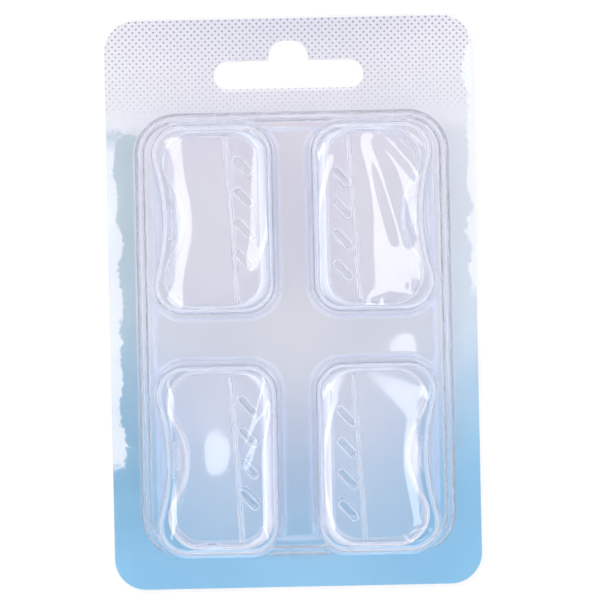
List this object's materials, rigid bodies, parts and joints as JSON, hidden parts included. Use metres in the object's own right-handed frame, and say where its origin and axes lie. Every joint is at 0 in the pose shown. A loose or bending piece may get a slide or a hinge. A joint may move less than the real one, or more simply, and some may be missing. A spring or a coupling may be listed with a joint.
{
  "type": "toothbrush cover hang pack",
  "caption": "Flat hang card with a clear domed blister over clear hinged clamshell covers for toothbrush heads.",
  "frame": {"origin": "middle of the whole pack's footprint, on the card's back", "axes": "+X to the right and +Y up the card as it hangs, +Z out of the card towards the viewer"},
  "size_m": [0.101, 0.1562, 0.02],
  "materials": {
    "printed_card": "coated print, pale lilac grey at the top to sky blue at the foot",
    "clear_film": "clear thermoformed sheet, glossy",
    "clear_cover": "clear injection-moulded plastic, glossy with a faint haze"
  },
  "bodies": {
    "card": {"backing_card": "printed_card"},
    "blister": {"blister_sheet": "clear_film", "pocket_wall_upper_left": "clear_film", "pocket_wall_upper_right": "clear_film", "pocket_wall_lower_left": "clear_film", "pocket_wall_lower_right": "clear_film", "pocket_roof_upper_left": "clear_film", "pocket_roof_upper_right": "clear_film", "pocket_roof_lower_left": "clear_film", "pocket_roof_lower_right": "clear_film"},
    "cover_upper_left": {"base_tray_upper_left": "clear_cover", "hinge_web_upper_left": "clear_cover"},
    "lid_upper_left": {"lid_tray_upper_left": "clear_cover"},
    "cover_upper_right": {"base_tray_upper_right": "clear_cover", "hinge_web_upper_right": "clear_cover"},
    "lid_upper_right": {"lid_tray_upper_right": "clear_cover"},
    "cover_lower_left": {"base_tray_lower_left": "clear_cover", "hinge_web_lower_left": "clear_cover"},
    "lid_lower_left": {"lid_tray_lower_left": "clear_cover"},
    "cover_lower_right": {"base_tray_lower_right": "clear_cover", "hinge_web_lower_right": "clear_cover"},
    "lid_lower_right": {"lid_tray_lower_right": "clear_cover"}
  },
  "joints": [
    {"name": "blister_lift", "type": "slide", "parent": "card", "child": "blister", "axis": [0, 0, 1], "range_m": [0, 0.15]},
    {"name": "cover_out_upper_left", "type": "slide", "parent": "card", "child": "cover_upper_left", "axis": [-1, 0, 0], "range_m": [0, 0.029]},
    {"name": "lid_hinge_upper_left", "type": "hinge", "parent": "cover_upper_left", "child": "lid_upper_left", "pos_m": [-0.0056, 0.02275, 0.0098], "axis": [0, 1, 0], "range_deg": [0, 180], "deforming": ["hinge_web_upper_left"]},
    {"name": "cover_out_upper_right", "type": "slide", "parent": "card", "child": "cover_upper_right", "axis": [1, 0, 0], "range_m": [0, 0.029]},
    {"name": "lid_hinge_upper_right", "type": "hinge", "parent": "cover_upper_right", "child": "lid_upper_right", "pos_m": [0.0056, 0.02275, 0.0098], "axis": [0, -1, 0], "range_deg": [0, 180], "deforming": ["hinge_web_upper_right"]},
    {"name": "cover_out_lower_left", "type": "slide", "parent": "card", "child": "cover_lower_left", "axis": [-1, 0, 0], "range_m": [0, 0.029]},
    {"name": "lid_hinge_lower_left", "type": "hinge", "parent": "cover_lower_left", "child": "lid_lower_left", "pos_m": [-0.0056, -0.04135, 0.0098], "axis": [0, 1, 0], "range_deg": [0, 180], "deforming": ["hinge_web_lower_left"]},
    {"name": "cover_out_lower_right", "type": "slide", "parent": "card", "child": "cover_lower_right", "axis": [1, 0, 0], "range_m": [0, 0.029]},
    {"name": "lid_hinge_lower_right", "type": "hinge", "parent": "cover_lower_right", "child": "lid_lower_right", "pos_m": [0.0056, -0.04135, 0.0098], "axis": [0, -1, 0], "range_deg": [0, 180], "deforming": ["hinge_web_lower_right"]}
  ],
  "couplings": [
    {"joint": "cover_out_upper_left", "follows": "blister_lift", "ratio": 0.1933},
    {"joint": "lid_hinge_upper_left", "follows": "blister_lift", "rad_per_m": 20.94},
    {"joint": "cover_out_upper_right", "follows": "blister_lift", "ratio": 0.1933},
    {"joint": "lid_hinge_upper_right", "follows": "blister_lift", "rad_per_m": 20.94},
    {"joint": "cover_out_lower_left", "follows": "blister_lift", "ratio": 0.1933},
    {"joint": "lid_hinge_lower_left", "follows": "blister_lift", "rad_per_m": 20.94},
    {"joint": "cover_out_lower_right", "follows": "blister_lift", "ratio": 0.1933},
    {"joint": "lid_hinge_lower_right", "follows": "blister_lift", "rad_per_m": 20.94}
  ]
}
